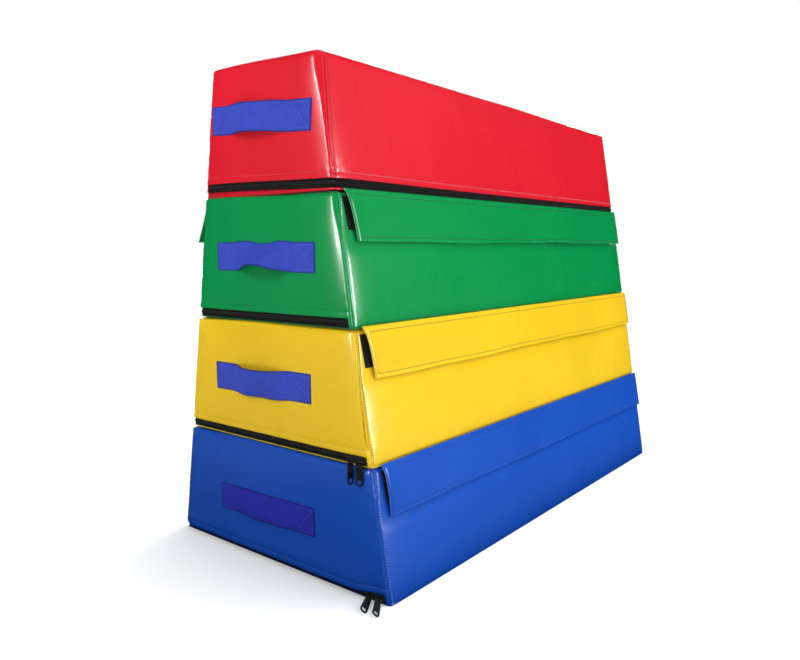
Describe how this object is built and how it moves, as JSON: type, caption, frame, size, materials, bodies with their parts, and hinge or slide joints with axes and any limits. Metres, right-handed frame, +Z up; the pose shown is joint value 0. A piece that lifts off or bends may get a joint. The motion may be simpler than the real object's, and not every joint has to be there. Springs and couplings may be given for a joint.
{
  "type": "soft vaulting box",
  "caption": "Stackable soft vaulting box: tapered foam sections in zipped vinyl covers with webbing handles, joined by overlapping hook-and-loop flaps.",
  "frame": {"origin": "centre of the base section's underside, on the floor", "axes": "+X along the length, +Y to the left seen from the -X end, +Z up"},
  "size_m": [1.062, 0.5043, 0.7997],
  "materials": {
    "vinyl_blue": "satin",
    "vinyl_yellow": "satin",
    "vinyl_green": "satin",
    "vinyl_red": "satin",
    "foam": "matte",
    "webbing": "satin",
    "zip_tape": "matte",
    "zip_coil": "satin",
    "zip_metal": "satin",
    "zip_pull": "satin",
    "hook_tape": "matte",
    "loop_tape": "matte"
  },
  "bodies": {
    "base": {"base_foam_core": "foam", "base_wrap_cover": "vinyl_blue", "base_end_panels": "vinyl_blue", "base_base_panel": "vinyl_blue", "base_zip_tape": "zip_tape", "base_zip_coil": "zip_coil", "base_zip_slider_parked": "zip_metal", "base_handles": "webbing", "base_loop_strips": "loop_tape"},
    "base_slider": {"base_zip_slider_open": "zip_metal"},
    "base_pull_open": {"base_zip_pull_open": "zip_pull"},
    "base_pull_parked": {"base_zip_pull_parked": "zip_pull"},
    "lower": {"lower_foam_core": "foam", "lower_wrap_cover": "vinyl_yellow", "lower_end_panels": "vinyl_yellow", "lower_base_panel": "vinyl_yellow", "lower_zip_tape": "zip_tape", "lower_zip_coil": "zip_coil", "lower_zip_slider_parked": "zip_metal", "lower_handles": "webbing", "lower_loop_strips": "loop_tape"},
    "lower_slider": {"lower_zip_slider_open": "zip_metal"},
    "lower_pull_open": {"lower_zip_pull_open": "zip_pull"},
    "lower_pull_parked": {"lower_zip_pull_parked": "zip_pull"},
    "lower_flap_left": {"lower_flap_left": "vinyl_blue", "lower_hook_left": "hook_tape"},
    "lower_flap_right": {"lower_flap_right": "vinyl_blue", "lower_hook_right": "hook_tape"},
    "upper": {"upper_foam_core": "foam", "upper_wrap_cover": "vinyl_green", "upper_end_panels": "vinyl_green", "upper_base_panel": "vinyl_green", "upper_zip_tape": "zip_tape", "upper_zip_coil": "zip_coil", "upper_zip_slider_parked": "zip_metal", "upper_handles": "webbing", "upper_loop_strips": "loop_tape"},
    "upper_slider": {"upper_zip_slider_open": "zip_metal"},
    "upper_pull_open": {"upper_zip_pull_open": "zip_pull"},
    "upper_pull_parked": {"upper_zip_pull_parked": "zip_pull"},
    "upper_flap_left": {"upper_flap_left": "vinyl_yellow", "upper_hook_left": "hook_tape"},
    "upper_flap_right": {"upper_flap_right": "vinyl_yellow", "upper_hook_right": "hook_tape"},
    "top": {"top_foam_core": "foam", "top_wrap_cover": "vinyl_red", "top_end_panels": "vinyl_red", "top_base_panel": "vinyl_red", "top_zip_tape": "zip_tape", "top_zip_coil": "zip_coil", "top_zip_slider_parked": "zip_metal", "top_handles": "webbing"},
    "top_slider": {"top_zip_slider_open": "zip_metal"},
    "top_pull_open": {"top_zip_pull_open": "zip_pull"},
    "top_pull_parked": {"top_zip_pull_parked": "zip_pull"},
    "top_flap_left": {"top_flap_left": "vinyl_green", "top_hook_left": "hook_tape"},
    "top_flap_right": {"top_flap_right": "vinyl_green", "top_hook_right": "hook_tape"}
  },
  "joints": [
    {"name": "base_zip_travel", "type": "slide", "parent": "base", "child": "base_slider", "axis": [0, 1, 0], "range_m": [0, 0.449]},
    {"name": "base_pull_open_swing", "type": "hinge", "parent": "base_slider", "child": "base_pull_open", "pos_m": [-0.5064, -0.2145, 0.0085], "axis": [0, 1, 0], "range_deg": [0, 60]},
    {"name": "base_pull_parked_swing", "type": "hinge", "parent": "base", "child": "base_pull_parked", "pos_m": [-0.5064, -0.2315, 0.0085], "axis": [0, 1, 0], "range_deg": [0, 60]},
    {"name": "lower_lift", "type": "slide", "parent": "base", "child": "lower", "axis": [0, 0, 1], "range_m": [0, 0.3]},
    {"name": "lower_flap_left_fold", "type": "hinge", "parent": "lower", "child": "lower_flap_left", "pos_m": [0, 0.22084, 0.20156], "axis": [1, 0, 0], "range_deg": [0, 165]},
    {"name": "lower_flap_right_fold", "type": "hinge", "parent": "lower", "child": "lower_flap_right", "pos_m": [0, -0.22084, 0.20156], "axis": [-1, 0, 0], "range_deg": [0, 165]},
    {"name": "lower_zip_travel", "type": "slide", "parent": "lower", "child": "lower_slider", "axis": [0, 1, 0], "range_m": [0, 0.384]},
    {"name": "lower_pull_open_swing", "type": "hinge", "parent": "lower_slider", "child": "lower_pull_open", "pos_m": [-0.5064, -0.182, 0.2085], "axis": [0, 1, 0], "range_deg": [0, 110]},
    {"name": "lower_pull_parked_swing", "type": "hinge", "parent": "lower", "child": "lower_pull_parked", "pos_m": [-0.5064, -0.199, 0.2085], "axis": [0, 1, 0], "range_deg": [0, 110]},
    {"name": "upper_lift", "type": "slide", "parent": "lower", "child": "upper", "axis": [0, 0, 1], "range_m": [0, 0.3]},
    {"name": "upper_flap_left_fold", "type": "hinge", "parent": "upper", "child": "upper_flap_left", "pos_m": [0, 0.18834, 0.40156], "axis": [1, 0, 0], "range_deg": [0, 165]},
    {"name": "upper_flap_right_fold", "type": "hinge", "parent": "upper", "child": "upper_flap_right", "pos_m": [0, -0.18834, 0.40156], "axis": [-1, 0, 0], "range_deg": [0, 165]},
    {"name": "upper_zip_travel", "type": "slide", "parent": "upper", "child": "upper_slider", "axis": [0, 1, 0], "range_m": [0, 0.319]},
    {"name": "upper_pull_open_swing", "type": "hinge", "parent": "upper_slider", "child": "upper_pull_open", "pos_m": [0.5064, -0.1495, 0.4085], "axis": [0, -1, 0], "range_deg": [0, 110]},
    {"name": "upper_pull_parked_swing", "type": "hinge", "parent": "upper", "child": "upper_pull_parked", "pos_m": [0.5064, -0.1665, 0.4085], "axis": [0, -1, 0], "range_deg": [0, 110]},
    {"name": "top_lift", "type": "slide", "parent": "upper", "child": "top", "axis": [0, 0, 1], "range_m": [0, 0.3]},
    {"name": "top_flap_left_fold", "type": "hinge", "parent": "top", "child": "top_flap_left", "pos_m": [0, 0.15584, 0.60156], "axis": [1, 0, 0], "range_deg": [0, 165]},
    {"name": "top_flap_right_fold", "type": "hinge", "parent": "top", "child": "top_flap_right", "pos_m": [0, -0.15584, 0.60156], "axis": [-1, 0, 0], "range_deg": [0, 165]},
    {"name": "top_zip_travel", "type": "slide", "parent": "top", "child": "top_slider", "axis": [0, -1, 0], "range_m": [0, 0.254]},
    {"name": "top_pull_open_swing", "type": "hinge", "parent": "top_slider", "child": "top_pull_open", "pos_m": [0.5064, 0.117, 0.6085], "axis": [0, -1, 0], "range_deg": [0, 110]},
    {"name": "top_pull_parked_swing", "type": "hinge", "parent": "top", "child": "top_pull_parked", "pos_m": [0.5064, 0.134, 0.6085], "axis": [0, -1, 0], "range_deg": [0, 110]}
  ]
}
